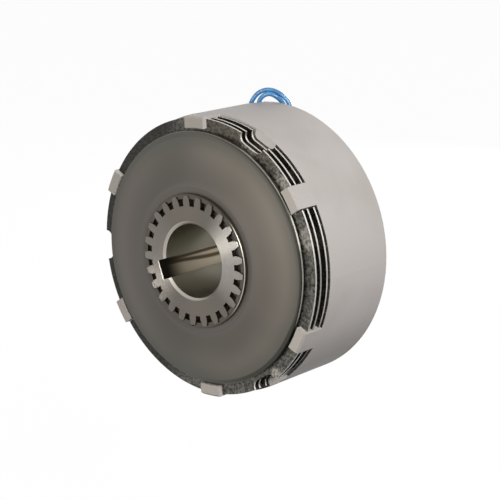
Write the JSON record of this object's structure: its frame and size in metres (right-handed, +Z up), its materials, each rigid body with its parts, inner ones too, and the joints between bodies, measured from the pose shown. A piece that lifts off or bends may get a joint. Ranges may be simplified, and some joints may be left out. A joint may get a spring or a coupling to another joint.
{
  "type": "electromagnetic multiple-disc brake",
  "caption": "Drum-shaped electromagnetic brake with fingers round a pack of thin steel discs, a toothed and keyed hub in front and two leads at the rear rim.",
  "frame": {"origin": "centre of the rear mounting face on the shaft axis, which is the centre of the wall bolt circle", "axes": "+Y along the shaft axis towards the machine wall, so the armature and the hub face -Y; +Z up, with the lead groove near the top; +X to the right seen from the front"},
  "size_m": [0.114, 0.0646, 0.1192],
  "materials": {
    "body_steel": "satin light-grey plating over a turned and milled surface",
    "armature_steel": "dark, ground and lightly oiled",
    "outer_disc_steel": "dark mottled faces, bright cut edges",
    "inner_disc_steel": "hardened, ground",
    "hub_steel": "turned, bright chamfers",
    "ring_steel": "spring steel",
    "bush_bronze": "machined",
    "copper_wire": "enamelled",
    "bobbin_plastic": "moulded",
    "wrap_tape": "varnished tape",
    "potting_resin": "cast",
    "splice_sleeve": "sleeve",
    "seal_rubber": "moulded",
    "lead_insulation": "smooth, glossy blue",
    "tinned_copper": "tinned strands",
    "tie_nylon": "natural nylon"
  },
  "bodies": {
    "brake_body": {"magnet_body": "body_steel", "coil_bobbin": "bobbin_plastic", "coil_winding": "copper_wire", "coil_wrap": "wrap_tape", "coil_potting": "potting_resin", "coil_splices": "splice_sleeve", "lead_seal": "seal_rubber", "hub_bush": "bush_bronze", "lead_a": "lead_insulation", "lead_b": "lead_insulation", "lead_a_coil": "lead_insulation", "lead_b_coil": "lead_insulation", "lead_tie": "tie_nylon", "lead_a_end": "tinned_copper", "lead_b_end": "tinned_copper"},
    "drive_hub": {"hub": "hub_steel", "hub_front_ring": "ring_steel", "hub_rear_ring": "ring_steel"},
    "armature": {"armature_disc": "armature_steel"},
    "outer_disc_1": {"outer_disc_1": "outer_disc_steel"},
    "outer_disc_2": {"outer_disc_2": "outer_disc_steel"},
    "outer_disc_3": {"outer_disc_3": "outer_disc_steel"},
    "inner_disc_1": {"inner_disc_1": "inner_disc_steel"},
    "inner_disc_2": {"inner_disc_2": "inner_disc_steel"}
  },
  "joints": [
    {"name": "hub_spin", "type": "hinge", "parent": "brake_body", "child": "drive_hub", "pos_m": [0, 0, 0], "axis": [0, 1, 0], "continuous": true},
    {"name": "armature_pull", "type": "slide", "parent": "drive_hub", "child": "armature", "axis": [0, 1, 0], "range_m": [0, 0.00232], "stiffness_N_per_m": 2500, "springref_m": -0.001},
    {"name": "outer_disc_1_slide", "type": "slide", "parent": "brake_body", "child": "outer_disc_1", "axis": [0, 1, 0], "range_m": [0, 0.00185]},
    {"name": "inner_disc_1_slide", "type": "slide", "parent": "drive_hub", "child": "inner_disc_1", "axis": [0, 1, 0], "range_m": [0, 0.00173]},
    {"name": "outer_disc_2_slide", "type": "slide", "parent": "brake_body", "child": "outer_disc_2", "axis": [0, 1, 0], "range_m": [0, 0.00161]},
    {"name": "inner_disc_2_slide", "type": "slide", "parent": "drive_hub", "child": "inner_disc_2", "axis": [0, 1, 0], "range_m": [0, 0.00104]},
    {"name": "outer_disc_3_slide", "type": "slide", "parent": "brake_body", "child": "outer_disc_3", "axis": [0, 1, 0], "range_m": [0, 0.000471]}
  ],
  "couplings": [
    {"joint": "outer_disc_1_slide", "follows": "armature_pull", "ratio": 0.79741},
    {"joint": "inner_disc_1_slide", "follows": "armature_pull", "ratio": 0.74569},
    {"joint": "outer_disc_2_slide", "follows": "armature_pull", "ratio": 0.69397},
    {"joint": "inner_disc_2_slide", "follows": "armature_pull", "ratio": 0.44828},
    {"joint": "outer_disc_3_slide", "follows": "armature_pull", "ratio": 0.20259}
  ]
}
